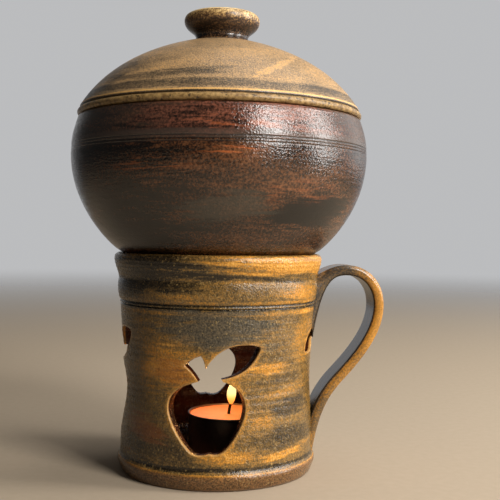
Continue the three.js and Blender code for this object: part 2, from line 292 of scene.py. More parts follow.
def apple(size):
    line = [(-3.5, 11.2)]
    line += pull(6, line[-1], (-5.2, 14.6), (-9.1, 17.6))[1:]
    line += pull(3, line[-1], (-9.3, 18.6), (-7, 19.7))[1:]
    line += pull(4, line[-1], (-4.6, 21.4), (-2.3, 21.9))[1:]
    line += pull(5, line[-1], (-0.8, 20.3), (-0.3, 16.6))[1:]
    line += pull(14, line[-1], (2.6, 21.6), (7.5, 26.3), (14.8, 26.4))[1:]
    line += pull(9, line[-1], (19.3, 26.5), (23.8, 26.3), (22.8, 24))[1:]
    line += pull(14, line[-1], (20, 17.6), (15, 13.6), (6.4, 12.3))[1:]
    line += [(7, 11.3)]
    line += pull(12, line[-1], (13, 9.4), (16.6, 5.4), (16.6, 0))[1:]
    line += pull(16, line[-1], (16.6, -5.6), (10.8, -15), (7, -17.8))[1:]
    line += pull(5, line[-1], (4.8, -19.4), (1.4, -18.5))[1:]
    line += pull(7, line[-1], (-3.6, -20.3), (-6.4, -18))[1:]
    line += pull(16, line[-1], (-11.2, -13.6), (-16.8, -5.2), (-16.8, 0))[1:]
    line += pull(14, line[-1], (-16.8, 6), (-10.8, 9), (-3.5, 11.2))[1:-1]
    return [(x * size, y * size) for x, y in line]


def small_leaf(length):
    half = length / 2
    back, tip = (-half, -half * 0.4), (half, half * 0.5)
    upper = pull(14, back, (-half, half * 0.4), (0, half * 0.8), tip)
    return upper + pull(14, tip, (half * 0.7, -half * 0.3), (0, -half * 0.7), back)[1:-1]


cuts = [
    (apple(1.0), radians(-6), 34.2),
    (apple(1.05), radians(-92), 37.6),
    (apple(0.88), radians(186), 42.0),
    (small_leaf(18), radians(76), 59.0),
]


def wall_radius(height):
    heights = [h for _, h in outside]
    return float(np.interp(height, heights, [r for r, _ in outside]))


def wider(outline, by):
    """The outline moved outwards all round, but hardly at the sharp tongues of clay"""
    tongue_turn, tongue_reach, least_share = 1.0, 4, 0.12
    steps = []
    for i, here in enumerate(outline):
        into = (Vector(here) - Vector(outline[i - 1])).normalized()
        away = (Vector(outline[(i + 1) % len(outline)]) - Vector(here)).normalized()
        side = Vector((-into.y - away.y, into.x + away.x)) / max(0.35, 1 + into.dot(away))
        turned = atan2(into.x * away.y - into.y * away.x, into.dot(away))
        steps.append((Vector(here), side, turned))
    tongues = [here for here, side, turned in steps if turned > tongue_turn]
    grown = []
    for here, side, turned in steps:
        room = min([(here - tongue).length for tongue in tongues] + [tongue_reach])
        grown.append(tuple(here + side * by * max(least_share, room / tongue_reach)))
    return grown


def knife(outline, azimuth, level):
    """The cut's solid: it opens at both faces of the wall, where a sponge rounded the edge"""
    lip, spread, lift, clear = 0.55, 0.66, 0.18, 12
    outer_end, inner_end = 0.06, 0.024
    form = bmesh.new()
    order = form.verts.layers.int.new("order")
    face = form.faces.new([form.verts.new((x, y, clear)) for x, y in wider(outline, spread)])
    for number, vert in enumerate(face.verts):
        vert[order] = number
    form.normal_update()
    arc = [(lip * (1 - cos(radians(a))), lip * (1 - sin(radians(a)))) for a in (60, 40, 20, 0)]
    way = [(spread, lift)] + [(out, -depth) for out, depth in arc]
    way += [(out, depth - stand_wall) for out, depth in arc[::-1]]
    way += [(spread, -lift - stand_wall), (spread, -stand_wall - clear)]
    for out, depth in way:
        bmesh.ops.inset_region(form, faces=[face], thickness=0, depth=0.1, use_boundary=True)
        grown = wider(outline, out)
        for vert in face.verts:
            vert.co = (*grown[vert[order]], depth)
    bmesh.ops.holes_fill(form, edges=[e for e in form.edges if e.is_boundary], sides=0)
    face_out(form)
    for vert in form.verts:
        radius = (wall_radius(level + vert.co.y) + vert.co.z) * MM
        if vert.co.z > clear - 1 or vert.co.z < 1 - clear - stand_wall:
            radius = (outer_end if vert.co.z > 0 else inner_end) / cos(vert.co.x / waist)
        angle = azimuth + vert.co.x / waist
        vert.co = (radius * sin(angle), -radius * cos(angle), (level + vert.co.y) * MM)
    return form


stand = to_piece("thrown_stand", stand_form)
for number, (outline, azimuth, level) in enumerate(cuts):
    cutter = to_piece("cutter_%d" % number, knife(outline, azimuth, level))
    cut = stand.modifiers.new("cut_%d" % number, "BOOLEAN")
    cut.operation = "DIFFERENCE"
    cut.solver = "EXACT"
    cut.object = cutter
graph = bpy.context.evaluated_depsgraph_get()
cut_mesh = bpy.data.meshes.new_from_object(stand.evaluated_get(graph))
stand.modifiers.clear()
stand.data = cut_mesh
for cutter in [o for o in scene.objects if o.name.startswith("cutter_")]:
    bpy.data.objects.remove(cutter)
cut_mesh.shade_smooth()
cut_mesh.set_sharp_from_angle(angle=crisp_edge)

# How far each point of the wall lies from the nearest cut edge, in mm, for the burnt halo there
far_off = 40.0
place = np.zeros(len(cut_mesh.vertices) * 3)
cut_mesh.vertices.foreach_get("co", place)
place = place.reshape(-1, 3) / MM
nearest = np.full(len(place), far_off)
for outline, azimuth, level in cuts:
    turned = np.arctan2(place[:, 0], -place[:, 1]) - azimuth
    across = ((turned + pi) % (2 * pi) - pi) * waist
    up = place[:, 2] - level
    for (ax, ay), (bx, by) in zip(outline, outline[1:] + outline[:1]):
        run = max((bx - ax) ** 2 + (by - ay) ** 2, 1e-9)
        share = np.clip(((across - ax) * (bx - ax) + (up - ay) * (by - ay)) / run, 0, 1)
        gap = np.hypot(across - ax - share * (bx - ax), up - ay - share * (by - ay))
        nearest = np.minimum(nearest, gap)
from_cut = cut_mesh.attributes.new("from_cut", "FLOAT", "POINT")
from_cut.data.foreach_set("value", nearest.astype(np.float32))


def effect(name, takes, gives):
    tree = bpy.data.node_groups.new(name, "ShaderNodeTree")
    for title, value in takes.items():
        kind = "NodeSocketVector" if isinstance(value, tuple) else "NodeSocketFloat"
        tree.interface.new_socket(title, in_out="INPUT", socket_type=kind).default_value = value
    for title in gives:
        tree.interface.new_socket(title, in_out="OUTPUT", socket_type="NodeSocketFloat")
    return tree, tree.nodes.new("NodeGroupInput").outputs, tree.nodes.new("NodeGroupOutput").inputs


def use(tree, group, **inputs):
    titled = {key.replace("_", " "): value for key, value in inputs.items()}
    return put(tree, "Group", titled, node_tree=group).outputs


def vector(tree, operation, *values):
    return put(tree, "VectorMath", dict(enumerate(values)), operation=operation).outputs[0]


def scaled(tree, place, size):
    return put(tree, "VectorMath", {0: place, "Scale": size}, operation="SCALE").outputs[0]


def height_of(tree, place):
    return put(tree, "SeparateXYZ", {0: place}).outputs[2]


def from_axis(tree, place, aside=0):
    """The distance from the upright axis, or from one that stands aside mm to its right"""
    if aside:
        place = vector(tree, "SUBTRACT", place, (aside * MM, 0, 0))
    flat = vector(tree, "MULTIPLY", place, (1, 1, 0))
    return put(tree, "VectorMath", {0: flat}, operation="LENGTH").outputs["Value"]


def weigh(tree, value, weight, onto):
    return figure(tree, "MULTIPLY_ADD", value, weight, onto)


def swing(tree, pattern, reach):
    """The pattern's 0 to 1 made a swing of that reach about nothing"""
    return weigh(tree, pattern, reach, -reach / 2)


# The small broken grain of an iron glaze
glaze_grain, takes, gives = effect(
    "glaze_grain", {"Place": (0, 0, 0), "Size": 1.0}, ["Grain", "Coarse"])
tree = glaze_grain
close = scaled(tree, takes["Place"], takes["Size"])
for title, scale, detail in (("Grain", 1250, 2), ("Coarse", 420, 3)):
    broken = clouds(tree, close, scale, detail, Roughness=0.6)
    tree.links.new(ease(tree, broken, 0.3, 0.7), gives[title])

# Glaze drawn out sideways by the wheel and the brush
wheel_drift, takes, gives = effect(
    "wheel_drift", {"Place": (0, 0, 0), "Length": 20.0, "Flatness": 5.0, "Seed": 0.0}, ["Drift"])
tree = wheel_drift
flat = put(tree, "CombineXYZ", {0: 1.0, 1: 1.0, 2: takes["Flatness"]}).outputs[0]
shift = put(tree, "CombineXYZ", {0: takes["Seed"], 2: takes["Seed"]}).outputs[0]
drawn = vector(tree, "ADD", vector(tree, "MULTIPLY", takes["Place"], flat), shift)
smear = clouds(tree, drawn, takes["Length"], 5, Roughness=0.62, Distortion=0.4)
tree.links.new(ease(tree, smear, 0.25, 0.75), gives["Drift"])

# One placed mark, used for the glaze's brush strokes and also for patches of painted shade: it adds
# its Amount to the cover under it
brush_and_shade_mark, takes, gives = effect("brush_and_shade_mark", {
    "Under": 0.0, "Place": (0, 0, 0), "Ragged": 0.0, "Azimuth": 0.0, "Height": 0.0,
    "Length": 0.02, "Width": 0.005, "Tilt": 0.0, "Amount": 0.5}, ["Cover"])
tree = brush_and_shade_mark
back = times(tree, takes["Azimuth"], -pi / 180)
turned = {"Vector": takes["Place"], "Angle": back}
turned = put(tree, "VectorRotate", turned, rotation_type="Z_AXIS").outputs[0]
apart = put(tree, "SeparateXYZ", {0: turned}).outputs
angle = figure(tree, "ARCTAN2", apart[0], times(tree, apart[1], -1.0))
along = times(tree, angle, from_axis(tree, turned))
rise = figure(tree, "SUBTRACT", apart[2], takes["Height"])
rise = figure(tree, "SUBTRACT", rise, times(tree, along, takes["Tilt"]))
sideways = figure(tree, "DIVIDE", figure(tree, "ABSOLUTE", along), takes["Length"])
upwards = figure(tree, "DIVIDE", figure(tree, "ABSOLUTE", rise), takes["Width"])
sideways, upwards = (figure(tree, "POWER", part, 2.0) for part in (sideways, upwards))
reach = figure(tree, "SQRT", figure(tree, "ADD", sideways, upwards))
reach = figure(tree, "ADD", reach, takes["Ragged"])
mark = ease(tree, reach, 1.35, 0.55)
tree.links.new(weigh(tree, mark, takes["Amount"], takes["Under"]), gives["Cover"])

# A narrow line turned right round the pot
wheel_line, takes, gives = effect("wheel_line", {
    "Under": 0.0, "Place": (0, 0, 0), "Height": 0.0, "Width": 0.001, "Amount": 0.5,
    "Ragged": 0.0}, ["Cover"])
tree = wheel_line
off = figure(tree, "SUBTRACT", height_of(tree, takes["Place"]), takes["Height"])
off = figure(tree, "DIVIDE", figure(tree, "ABSOLUTE", off), takes["Width"])
mark = ease(tree, figure(tree, "ADD", off, takes["Ragged"]), 1.3, 0.5)
tree.links.new(weigh(tree, mark, takes["Amount"], takes["Under"]), gives["Cover"])

# Fine turning lines, and the dimpled skin of a thick glaze
glaze_skin, takes, gives = effect("glaze_skin", {
    "Place": (0, 0, 0), "Lines": 1.0, "Line Breaks": 12.0, "Dimples": 1.0,
    "Dimple Size": 1.0}, ["Height"])
tree = glaze_skin
breaks = takes["Line Breaks"]
line_shape = put(tree, "CombineXYZ", {0: breaks, 1: breaks, 2: 900}).outputs[0]
line_place = vector(tree, "MULTIPLY", takes["Place"], line_shape)
lines = clouds(tree, line_place, 1.0, 3, Roughness=0.6)
dimples = clouds(tree, scaled(tree, takes["Place"], takes["Dimple Size"]), 620, 1.5)
dimples = times(tree, dimples, takes["Dimples"])
tree.links.new(weigh(tree, lines, takes["Lines"], dimples), gives["Height"])

# Scattered spots of iron, or of pale crystals
iron_spots, takes, gives = effect("iron_spots", {
    "Place": (0, 0, 0), "Scale": 300.0, "Share": 0.3, "Size": 0.25}, ["Spots"])
tree = iron_spots
torn = put(tree, "TexNoise", {"Vector": takes["Place"], "Scale": 1100, "Detail": 1}).outputs["Color"]
torn = vector(tree, "ADD", takes["Place"], scaled(tree, torn, 0.0022))
cells = put(tree, "TexVoronoi", {"Vector": torn, "Scale": takes["Scale"]})
chance = put(tree, "SeparateColor", {0: cells.outputs["Color"]}).outputs[0]
chosen = figure(tree, "LESS_THAN", chance, takes["Share"])
full = times(tree, takes["Size"], 0.45)
dot = ease(tree, cells.outputs["Distance"], takes["Size"], full)
tree.links.new(times(tree, chosen, dot), gives["Spots"])


def glaze(name, **shine):
    material = bpy.data.materials.new(name)
    material.use_nodes = True
    shader = material.node_tree.nodes["Principled BSDF"]
    for key, value in shine.items():
        shader.inputs[key.replace("_", " ")].default_value = value
    where = put(material.node_tree, "TexCoord").outputs["Object"]
    return material, material.node_tree, shader.inputs, where


def tone(red, green, blue):
    """The linear value of a screen colour"""
    return tuple(((c / 255 + 0.055) / 1.055) ** 2.4 for c in (red, green, blue)) + (1.0,)


def shades(tree, share, *stops):
    ramp = put(tree, "ValToRGB", {0: share})
    while len(ramp.color_ramp.elements) < len(stops):
        ramp.color_ramp.elements.new(0.5)
    for stop, (position, colour) in zip(ramp.color_ramp.elements, stops):
        stop.position = position
        stop.color = colour
    return ramp.outputs[0]


def drawn_out(tree, where, length, flatness, seed):
    inputs = {"Place": where, "Length": length, "Flatness": flatness, "Seed": seed}
    return use(tree, wheel_drift, **inputs)["Drift"]


def painted(tree, cover, where, ragged, marks):
    """Each mark has its azimuth, height, length and width in mm, its tilt and what it adds"""
    for azimuth, height, length, width, tilt, amount in marks:
        cover = use(tree, brush_and_shade_mark, Under=cover, Place=where, Ragged=ragged, Azimuth=azimuth,
                    Height=height * MM, Length=length * MM, Width=width * MM, Tilt=tilt,
                    Amount=amount)["Cover"]
    return cover


def lined(tree, cover, where, ragged, lines):
    """Each line has its height and width in mm, and what it adds"""
    for height, width, amount in lines:
        cover = use(tree, wheel_line, Under=cover, Place=where, Height=height * MM,
                    Width=width * MM, Amount=amount, Ragged=ragged)["Cover"]
    return cover


def relief(tree, shader, height, depth):
    bump = put(tree, "Bump", {"Strength": 1.0, "Distance": depth * MM, "Height": height})
    tree.links.new(bump.outputs[0], shader["Normal"])


stand_glaze, tree, shader, where = glaze("stand_glaze", IOR=1.55)
grain = use(tree, glaze_grain, Place=where, Size=1.2)
drift = drawn_out(tree, where, 26.0, 4.0, 3.1)
streak = drawn_out(tree, where, 60.0, 9.0, 8.4)
ragged = swing(tree, streak, 1.1)
cover = weigh(tree, drift, 0.2, 0.315)
cover = painted(tree, cover, where, ragged, [
    (52, 93.2, 46, 4.0, 0.0, 0.42),
    (4, 94.6, 22, 0.9, -0.02, 0.3),
    (-18, 91.4, 34, 0.8, -0.04, 0.26),
    (-38, 94.5, 26, 2.6, 0.0, -0.26),
    # Painted shade: this mark and the broad ones at -64 and -70 degrees darken the stand's left side,
    # away from the window
    (-45, 89.0, 28, 9.0, 0.0, -0.12),
    (-8, 93.0, 26, 1.4, -0.06, -0.34),
    (4, 89.6, 34, 1.2, -0.08, -0.32),
    (-30, 88.6, 24, 1.4, 0.0, -0.2),
    (10, 86.8, 26, 0.8, -0.03, 0.16),
    (58, 82.0, 14, 4.0, 0.0, 0.26),
    (-22, 90.0, 24, 2.0, -0.05, -0.22),
    (-38, 84.6, 24, 2.8, 0.0, -0.18),
    (-28, 80.4, 16, 1.6, 0.0, 0.14),
    (3, 67.5, 24, 7.5, -0.03, -0.26),
    (-40, 62.0, 12, 4.5, 0.0, 0.08),
    (-31, 52.0, 13, 9, 0.25, 0.34),
    # Painted shade on the stand's left side, away from the window
    (-64, 84.0, 24, 18, 0.0, -0.16),
    (-70, 48.0, 18, 34, 0.0, -0.1),
    (60, 62.0, 8, 12, 0.0, 0.2),
    (33, 50.6, 8, 2.6, 0.05, 0.3),
    (42, 45.6, 15, 2.0, 0.05, -0.14),
    (46, 40.2, 17, 2.4, 0.04, 0.2),
    (50, 33.0, 12, 3.6, 0.1, -0.26),
    (44, 20.0, 26, 5.0, 0.0, -0.2),
    (26, 27.0, 6, 5.0, 0.2, 0.22),
    (8, 13.6, 11, 2.8, 0.05, 0.36),
    (45, 13.8, 17, 1.7, 0.12, 0.36),
    (-34, 17.0, 26, 9.0, -0.1, -0.22),
    (120, 60.0, 30, 12, 0.1, 0.25),
    (-140, 40.0, 34, 16, -0.1, 0.2),
    (170, 70.0, 40, 7, 0.0, -0.25),
    (150, 20.0, 40, 6, 0.05, 0.3),
])
cover = lined(tree, cover, where, times(tree, ragged, 0.5), [
    (78.0, 0.7, 0.2),
    (75.3, 0.4, -0.35),
    (76.7, 0.4, -0.3),
    (73.4, 0.9, 0.22),
    (9.0, 0.9, -0.3),
    (6.8, 0.5, 0.34),
])
edge_gap = put(tree, "Attribute", attribute_name="from_cut").outputs["Fac"]
halo = ease(tree, weigh(tree, ragged, 1.6, edge_gap), 2.8, 0.4)
cover = weigh(tree, halo, 0.24, cover)
mottle = figure(tree, "ADD", swing(tree, grain["Grain"], 0.32), swing(tree, grain["Coarse"], 0.12))
colour = shades(
    tree, figure(tree, "ADD", cover, mottle),
    (0.0, tone(36, 27, 14)), (0.2, tone(80, 62, 34)), (0.4, tone(126, 96, 50)),
    (0.58, tone(168, 122, 56)), (0.76, tone(214, 142, 48)), (0.95, tone(248, 180, 80)),
)
grey = painted(tree, 0.0, where, ragged, [(3, 67.0, 27, 8.5, -0.03, 0.6)])
colour = tint(tree, grey, colour, tint(tree, grain["Grain"], tone(62, 59, 52), tone(116, 108, 90)))
level = height_of(tree, where)
foot_band = ease(tree, level, 0.0074, 0.0062)
foot_brown = tint(tree, grain["Grain"], tone(74, 48, 28), tone(160, 110, 68))
colour = tint(tree, times(tree, foot_band, 0.75), colour, foot_brown)
rust = painted(tree, 0.0, where, ragged, [
    (-46, 24.0, 12, 5.0, -0.1, 0.5),
    (-26, 50.0, 10, 6.0, 0.0, 0.5),
])
colour = tint(tree, rust, colour, tone(164, 88, 34))
spots = use(tree, iron_spots, Place=where, Scale=820.0, Share=0.3, Size=0.42)["Spots"]
colour = tint(tree, times(tree, spots, 0.4), colour, tone(214, 178, 112))
# A pale lip along the cut edges: the glaze thins on the sponged edge, and it also paints the
# highlight those rounded edges catch
cut_lip = ease(tree, edge_gap, 0.75, 0.25)
colour = tint(tree, times(tree, cut_lip, 0.6), colour, tone(216, 166, 100))
within = ease(tree, from_axis(tree, where), 0.0424, 0.0417)
within = times(tree, within, ease(tree, level, 0.0005, 0.0015))
inside_colour = shades(tree, drift, (0.2, tone(44, 19, 10)), (0.8, tone(80, 37, 18)))
colour = tint(tree, within, colour, inside_colour)
bare = ease(tree, level, 0.0012, 0.0004)
colour = tint(tree, bare, colour, tone(150, 118, 86))
tree.links.new(colour, shader["Base Color"])
rough = weigh(tree, grain["Coarse"], 0.14, 0.18)
rough = weigh(tree, foot_band, -0.1, rough)
rough = figure(tree, "MAXIMUM", rough, times(tree, bare, 0.85))
tree.links.new(rough, shader["Roughness"])
skin = use(
    tree, glaze_skin, Place=where, Lines=0.35, Line_Breaks=40, Dimples=0.8, Dimple_Size=2.1)["Height"]
skin = weigh(tree, grain["Grain"], 0.2, skin)
relief(tree, shader, skin, 0.22)
stand.data.materials.clear()
stand.data.materials.append(stand_glaze)
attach(stand, "stand")
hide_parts("stand")

# Handle: a strap pulled from a lump of the same clay, bent into an ear and pressed on the wall at
# both ends. Its upper root spreads down the wall, and its tail is wiped flat with the thumb.
ear = [
    ((-1.5, 81.9), (3.5, 86.7), (9, 90.7), (15.8, 90.7)),
    ((15.8, 90.7), (25.3, 90.7), (31, 83.5), (31, 74.5)),
    ((31, 74.5), (31, 64), (24, 53.5), (13.4, 42.2)),
    ((13.4, 42.2), (7.2, 35.6), (1.8, 28), (-1.6, 9)),
]
strap_width, strap_depth, strap_round = 20, 4.8, 2.1
# The upper root spreads and sinks down the wall, and the tail spreads less
root_spread, root_reach = 0.26, 13
tail_spread, tail_reach = 0.14, 26
root_sink, sink_reach = 20, 18
middle_slim = 0.05
thumb_channel = 0.45
pressed_in = 3.2
route = []
for stretch in ear:
    route += pull(60, *stretch)[len(route) > 0:]
route = np.array(route)
walked = np.concatenate([[0], np.cumsum(np.hypot(*np.diff(route, axis=0).T))])
ear_length = walked[-1]
strap = bmesh.new()
through_layer = strap.verts.layers.float.new("through")
along_layer = strap.verts.layers.float.new("along")
bmesh.ops.create_grid(strap, x_segments=1, y_segments=1, size=0.5)
bmesh.ops.scale(strap, vec=(strap_width, strap_depth, 1), verts=strap.verts)
bmesh.ops.bevel(strap, geom=strap.verts[:], offset=strap_round, offset_type="OFFSET",
                affect="VERTICES", segments=6, profile=0.5, material=-1)
long_sides = [e for e in strap.edges if e.calc_length() > 8]
bmesh.ops.subdivide_edges(strap, edges=long_sides, cuts=11)
bmesh.ops.dissolve_faces(strap, faces=strap.faces[:], use_verts=False)
end_face = next(iter(strap.faces))


def ear_frame(walk):
    reach, height = (float(np.interp(walk, walked, route[:, i])) for i in (0, 1))
    ahead = [float(np.interp(walk + 0.4, walked, route[:, i])) for i in (0, 1)]
    behind = [float(np.interp(walk - 0.4, walked, route[:, i])) for i in (0, 1)]
    slope = atan2(ahead[1] - behind[1], ahead[0] - behind[0])
    spread = 1 + root_spread * max(0, 1 - walk / root_reach) ** 2
    spread -= middle_slim * sin(pi * walk / ear_length)
    spread += tail_spread * max(0, 1 - (ear_length - walk) / tail_reach) ** 2
    # The section's own x runs across the strap, y through it and z along it
    along = Vector((cos(slope), 0, sin(slope)))
    through = Vector((-sin(slope), 0, cos(slope)))
    across = through.cross(along)
    turn = Matrix((across * spread, through, along)).transposed().to_4x4()
    return Matrix.Translation((waist + reach, 0, height)) @ turn


stretches = 84
stations = [ear_length * i / stretches for i in range(stretches + 1)]
bmesh.ops.transform(strap, matrix=ear_frame(0), verts=strap.verts)
for walk, step in zip(stations, stations[1:]):
    grown = bmesh.ops.extrude_face_region(strap, geom=[end_face])["geom"]
    fresh = [g for g in grown if isinstance(g, bmesh.types.BMVert)]
    end_face = next(g for g in grown if isinstance(g, bmesh.types.BMFace))
    move = ear_frame(step) @ ear_frame(walk).inverted()
    bmesh.ops.transform(strap, matrix=move, verts=fresh)
    for vert in fresh:
        vert[along_layer] = step
face_out(strap)
for vert in strap.verts:
    walk = vert[along_layer]
    own = ear_frame(walk).inverted() @ vert.co
    through = own.y / (strap_depth / 2)
    vert[through_layer] = through
    vert[along_layer] = walk / ear_length
    edge = min(1, abs(own.x) / (strap_width / 2))
    # A shallow thumb channel down the outside of the strap
    hollow = thumb_channel * (1 - edge ** 2) * sin(pi * walk / ear_length) * max(0, through)
    from_root = max(0, 1 - walk / sink_reach)
    vert.co -= (ear_frame(walk).to_3x3() @ Vector((0, 1, 0))).normalized() * hollow
    vert.co.z -= root_sink * from_root ** 3 * (0.5 - through / 2)
bmesh.ops.scale(strap, vec=(MM, MM, MM), verts=strap.verts)
ear_turn = Matrix.Rotation(radians(3), 3, "Z")
bmesh.ops.rotate(strap, cent=(0, 0, 0), matrix=ear_turn, verts=strap.verts)
for vert in strap.verts:
    out = Vector((vert.co.x, vert.co.y, 0))
    least = (wall_radius(vert.co.z / MM) - pressed_in) * MM
    if out.length < least:
        vert.co += out.normalized() * (least - out.length)
handle = to_piece("pulled_handle", strap)

handle_glaze, tree, shader, where = glaze("handle_glaze", IOR=1.6, Roughness=0.22)
grain = use(tree, glaze_grain, Place=where, Size=1.0)
drift = drawn_out(tree, where, 55.0, 1.0, 5.7)
through = put(tree, "Attribute", attribute_name="through").outputs["Fac"]
along = put(tree, "Attribute", attribute_name="along").outputs["Fac"]
# The inner face stays dark: partly its glaze, partly painted shade, as it turns to the wall away from
# the window. Its back edge is painted a little lighter.
outer = ease(tree, through, -0.98, -0.66)
cover = weigh(tree, outer, 0.58, weigh(tree, drift, 0.28, -0.05))
cover = weigh(tree, ease(tree, along, 0.3, 0.14), -0.34, cover)
cover = weigh(tree, ease(tree, along, 0.72, 0.86), -0.26, cover)
colour = shades(
    tree, figure(tree, "ADD", cover, swing(tree, grain["Grain"], 0.26)),
    (0.0, tone(40, 34, 28)), (0.22, tone(70, 60, 48)), (0.4, tone(120, 92, 54)),
    (0.6, tone(184, 128, 54)), (0.85, tone(226, 156, 62)),
)
back_edge = ease(tree, put(tree, "SeparateXYZ", {0: where}).outputs[1], -0.006, 0.012)
back_edge = times(tree, back_edge, figure(tree, "SUBTRACT", 1.0, outer))
colour = tint(tree, times(tree, back_edge, 0.26), colour, tone(104, 88, 72))
tree.links.new(colour, shader["Base Color"])
skin = use(tree, glaze_skin, Place=where, Lines=0.0, Dimples=0.5, Dimple_Size=0.8)
relief(tree, shader, skin["Height"], 0.12)
handle.data.materials.append(handle_glaze)
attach(handle, "stand")
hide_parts("strap_handle")

# Bowl: thrown round in the same stoneware, with a turned foot ring that drops in the stand's
# mouth. A hollow spike is thrown up from its floor to carry the apple. Its thick iron glaze fires
# dark, red and glossy.
seat = 99.228
belly, belly_height = 67.05, 42.5
belly_slope = 0.62487
bowl_wall = 5
bowl_low = pull(44, (46, 0), (49.1, 3.1 * belly_slope), (belly, 18.445), (belly, belly_height))
bowl_high = pull(22, (belly, belly_height), (belly, 50.1), (65.5, 53.8), (64.2, 58.1))
# The stretch with the scored lines has a point at every sixth of a millimetre
side = bowl_low[-12:] + bowl_high[1:12]
side_heights = [height for _, height in side]
side_radii = [radius for radius, _ in side]
scored_heights = [41.5 + i / 6 for i in range(32)]
scored_part = [(float(np.interp(h, side_heights, side_radii)), h) for h in scored_heights]
bowl_low = [p for p in bowl_low if p[1] < scored_heights[0] - 0.1]
bowl_top = [p for p in bowl_high if p[1] > scored_heights[-1] + 0.1]
foot_top, foot_low, underside, bowl_floor = -4.47, -7.97, -3.47, 1.53
spike_top = bowl_floor + 43
bowl_profile = [(0, spike_top - 4), (1.4, spike_top - 4.2), (2.5, spike_top - 5.5)]
bowl_profile += pull(8, (2.5, spike_top - 5.5), (7, 19), (11.5, underside + 1.5))[1:]
bowl_profile += [(12, underside + 0.5), (13, underside), (24, underside), (33.6, underside)]
bowl_profile += [(34.1, underside - 0.4), (34.6, foot_low + 0.6), (35.1, foot_low), (36.5, foot_low)]
bowl_profile += [(38.05, foot_low), (38.55, foot_low + 0.25), (38.85, foot_low + 0.8)]
bowl_profile += [(38.85, foot_top - 0.6)]
bowl_profile += pull(6, (39.1, foot_top - 0.1), (46, 0)) + bowl_low[1:] + scored_part + bowl_top
bowl_profile += crook(63.2, 57.95, 0.95, 12, 90, 4) + crook(60.0, 57.95, 0.95, 90, 180, 4)
bowl_inside = clay_side(bowl_high[::2], bowl_wall)[1:] + clay_side(bowl_low[::2], bowl_wall)[1:]
bowl_profile += finger_rings(bowl_inside, pitch=7.3, depth=0.3, low=4, high=56)
bowl_profile += pull(8, (41.5, 3.4), (38, bowl_floor), (32, bowl_floor))
bowl_profile += [(25, bowl_floor), (19.5, bowl_floor)]
bowl_profile += pull(6, (18.6, 1.6), (15.6, 1.9), (15.2, 5.2))
bowl_profile += pull(14, (15.2, 5.2), (11, 22), (6.5, spike_top - 3.5))[1:]
bowl_profile += pull(6, (6.5, spike_top - 3.5), (5.8, spike_top - 0.2), (0, spike_top))[1:]


def scored(radius, height):
    """Three fine lines turned round the outside of the shoulder"""
    half_width, outside_from = 0.5, 60.5
    for line, depth in ((45.6, 0.26), (44.4, 0.22), (43.2, 0.2)):
        if radius > outside_from and abs(height - line) < half_width:
            radius -= depth * (1 - abs(height - line) / half_width)
    return radius, height


bowl_form = thrown([scored(r, h) for r, h in bowl_profile])
bmesh.ops.translate(bowl_form, vec=(0, 0, seat * MM), verts=bowl_form.verts)
uneven(bowl_form, 0.22)
bowl = to_piece("thrown_bowl", bowl_form)

bowl_glaze, tree, shader, where = glaze("bowl_glaze", IOR=1.68)
grain = use(tree, glaze_grain, Place=where, Size=0.8)
drift = drawn_out(tree, where, 17.0, 4.5, 1.3)
streak = drawn_out(tree, where, 70.0, 10.0, 2.6)
ragged = swing(tree, streak, 0.9)
level = height_of(tree, where)
shoulder = ease(tree, weigh(tree, ragged, 0.0016, level), 0.1435, 0.1458)
cover = weigh(tree, drift, 0.36, 0.14)
cover = painted(tree, cover, where, ragged, [
    (6, 137.5, 15, 4.5, 0.1, 0.14),
    # Painted shade: darkens the bowl's left side, away from the window
    (-50, 130.0, 34, 22.0, 0.0, -0.2),
    (18, 124.5, 24, 7.0, 0.02, 0.1),
    (-25, 121.0, 40, 6.0, 0.0, -0.1),
    (42, 116.4, 20, 6.0, 0.1, -0.46),
    (46, 106.0, 22, 5.0, 0.1, -0.12),
    (0, 103.5, 20, 3.6, 0.0, 0.1),
    # Painted shade: darkens the bowl's lower left
    (-46, 107.0, 30, 7.0, 0.0, -0.18),
    (150, 130.0, 50, 8.0, 0.1, 0.2),
    (-110, 118.0, 60, 7.0, -0.05, 0.14),
])
mottle = figure(tree, "ADD", swing(tree, grain["Grain"], 0.34), swing(tree, streak, 0.16))
share = figure(tree, "ADD", cover, mottle)
belly_colour = shades(
    tree, share,
    (0.0, tone(8, 4, 2)), (0.22, tone(40, 23, 12)), (0.42, tone(88, 54, 31)),
    (0.62, tone(128, 82, 50)), (0.85, tone(160, 102, 60)),
)
shoulder_colour = shades(
    tree, figure(tree, "ADD", share, weigh(tree, streak, 0.3, -0.11)),
    (0.0, tone(28, 18, 12)), (0.25, tone(78, 47, 34)), (0.5, tone(134, 80, 60)),
    (0.8, tone(168, 104, 78)),
)
red_part = painted(tree, 0.0, where, ragged, [
    (8, 150.0, 44, 14.0, 0.0, 1.0),
    (-170, 150.0, 60, 14.0, 0.0, 0.6),
])
plain_part = tint(tree, 0.5, belly_colour, tone(74, 60, 50))
shoulder_colour = tint(tree, red_part, plain_part, shoulder_colour)
colour = tint(tree, shoulder, belly_colour, shoulder_colour)
fleck = painted(tree, 0.0, where, ragged, [
    (4, 139.0, 15, 3.6, 0.1, 0.8),
    (-25, 133.0, 22, 4.0, 0.0, 0.3),
    (30, 124.0, 26, 7.0, 0.0, 0.2),
    (10, 149.5, 30, 4.5, 0.0, 0.35),
    (170, 130.0, 60, 9.0, 0.0, 0.4),
])
fleck = times(tree, fleck, ease(tree, streak, 0.56, 0.78))
colour = tint(tree, fleck, colour, tone(200, 104, 48))
grey = painted(tree, 0.0, where, ragged, [(3, 117.0, 18, 5.5, 0.08, 0.6)])
colour = tint(tree, grey, colour, tone(84, 76, 62))
wobble = times(tree, ragged, 0.6)
